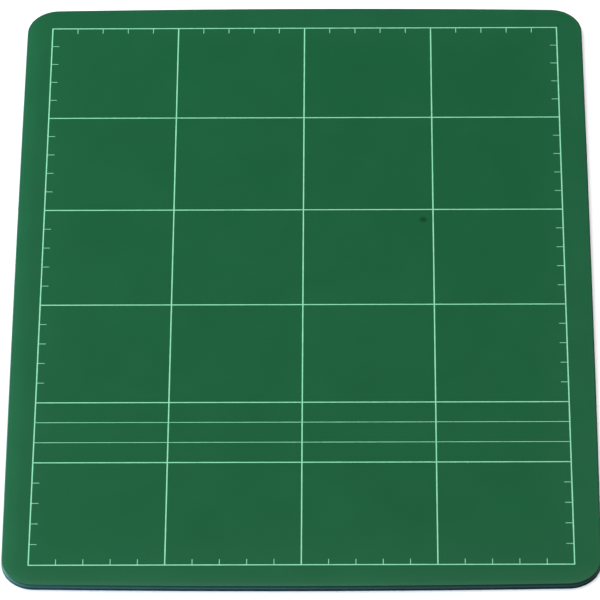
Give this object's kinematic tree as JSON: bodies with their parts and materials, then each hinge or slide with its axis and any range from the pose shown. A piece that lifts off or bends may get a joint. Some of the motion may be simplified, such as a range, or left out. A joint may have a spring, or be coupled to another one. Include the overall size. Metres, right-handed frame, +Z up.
{
  "type": "self-healing cutting mat",
  "caption": "Flat three-ply PVC cutting mat with rounded corners and a pale printed centimetre grid, for cutting leather, card or cloth on.",
  "frame": {"origin": "centre of the mat's underside, on the surface that it lies on", "axes": "+X across the mat's width to the right, +Y along its length towards the far edge, away from the three fine strips, +Z up out of the printed cutting face"},
  "size_m": [0.2206, 0.3016, 0.003],
  "materials": {
    "cutting_pvc": "matte",
    "core_pvc": "matte",
    "backing_pvc": "matte",
    "print_ink": "satin"
  },
  "bodies": {
    "root": {"backing_skin": "backing_pvc", "core_sheet": "core_pvc", "cutting_skin": "cutting_pvc", "ink_border_frame": "print_ink", "ink_column_lines": "print_ink", "ink_row_lines": "print_ink", "ink_strip_lines": "print_ink", "ink_ticks_near": "print_ink", "ink_ticks_far": "print_ink", "ink_ticks_left": "print_ink", "ink_ticks_right": "print_ink"}
  },
  "joints": []
}
